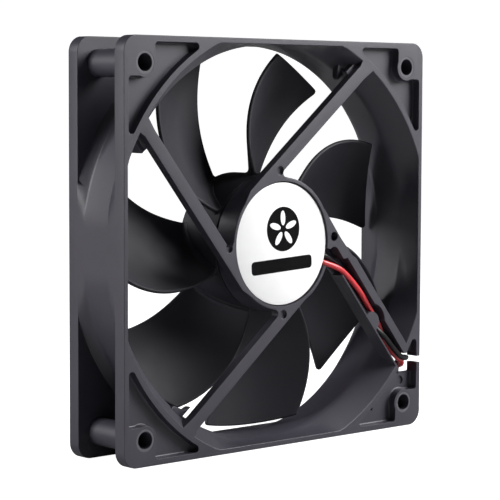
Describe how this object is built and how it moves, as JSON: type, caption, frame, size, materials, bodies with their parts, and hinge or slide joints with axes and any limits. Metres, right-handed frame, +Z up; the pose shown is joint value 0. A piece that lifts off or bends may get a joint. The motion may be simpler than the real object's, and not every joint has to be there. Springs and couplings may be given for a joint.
{
  "type": "case fan",
  "caption": "Square axial case fan: open flanged frame, bladed impeller on ball bearings, brushless motor, round label and a two-wire lead with a connector.",
  "frame": {"origin": "middle of the frame's bottom edge at half its depth", "axes": "+X to the right when facing the label, +Y from the label and strut face to the open intake face, +Z up"},
  "size_m": [0.1455, 0.045, 0.12],
  "materials": {
    "frame_plastic": "fine moulded texture, charcoal",
    "impeller_plastic": "satin moulded, blue-black",
    "label_film": "smooth printed film",
    "steel": "ground",
    "yoke_steel": "zinc plated",
    "brass": "turned",
    "copper": "enamelled copper wire",
    "ferrite": "rubber-bonded ferrite",
    "nylon": "natural nylon",
    "board_green": "solder mask",
    "chip_black": "moulded epoxy",
    "red_pvc": "glossy PVC insulation",
    "black_pvc": "glossy PVC insulation"
  },
  "bodies": {
    "housing": {"bearing_tube": "brass", "black_lead": "black_pvc", "black_lead_end": "black_pvc", "black_terminal": "brass", "capacitor": "chip_black", "circuit_board": "board_green", "coil_tie": "black_pvc", "connector_housing": "nylon", "driver_chip": "chip_black", "frame": "frame_plastic", "front_bearing_front_shield": "steel", "front_bearing_outer_ring": "steel", "front_bearing_rear_shield": "steel", "front_insulator": "nylon", "lead_coil": "black_pvc", "motor_label": "label_film", "preload_spring": "steel", "rear_bearing_front_shield": "steel", "rear_bearing_outer_ring": "steel", "rear_bearing_rear_shield": "steel", "rear_insulator": "nylon", "red_lead": "red_pvc", "red_lead_end": "red_pvc", "red_terminal": "brass", "stator_core": "yoke_steel", "stator_winding_1": "copper", "stator_winding_2": "copper", "stator_winding_3": "copper", "stator_winding_4": "copper", "winding_pin_1": "steel", "winding_pin_2": "steel"},
    "rotor": {"impeller": "impeller_plastic", "rotor_yoke": "yoke_steel", "ring_magnet": "ferrite", "shaft": "steel", "retaining_clip": "steel", "shaft_spacer": "brass", "front_bearing_inner_ring": "steel", "rear_bearing_inner_ring": "steel"},
    "front_ball_set": {"front_bearing_ball_1": "steel", "front_bearing_ball_2": "steel", "front_bearing_ball_3": "steel", "front_bearing_ball_4": "steel", "front_bearing_ball_5": "steel", "front_bearing_ball_6": "steel", "front_bearing_ball_7": "steel", "front_bearing_cage": "nylon"},
    "rear_ball_set": {"rear_bearing_ball_1": "steel", "rear_bearing_ball_2": "steel", "rear_bearing_ball_3": "steel", "rear_bearing_ball_4": "steel", "rear_bearing_ball_5": "steel", "rear_bearing_ball_6": "steel", "rear_bearing_ball_7": "steel", "rear_bearing_cage": "nylon"}
  },
  "joints": [
    {"name": "impeller_spin", "type": "hinge", "parent": "housing", "child": "rotor", "pos_m": [0, 0, 0.06], "axis": [0, 1, 0], "continuous": true},
    {"name": "front_ball_set_spin", "type": "hinge", "parent": "housing", "child": "front_ball_set", "pos_m": [0, 0, 0.06], "axis": [0, 1, 0], "continuous": true},
    {"name": "rear_ball_set_spin", "type": "hinge", "parent": "housing", "child": "rear_ball_set", "pos_m": [0, 0, 0.06], "axis": [0, 1, 0], "continuous": true}
  ],
  "couplings": [
    {"joint": "front_ball_set_spin", "follows": "impeller_spin", "ratio": 0.3556},
    {"joint": "rear_ball_set_spin", "follows": "impeller_spin", "ratio": 0.3556}
  ]
}
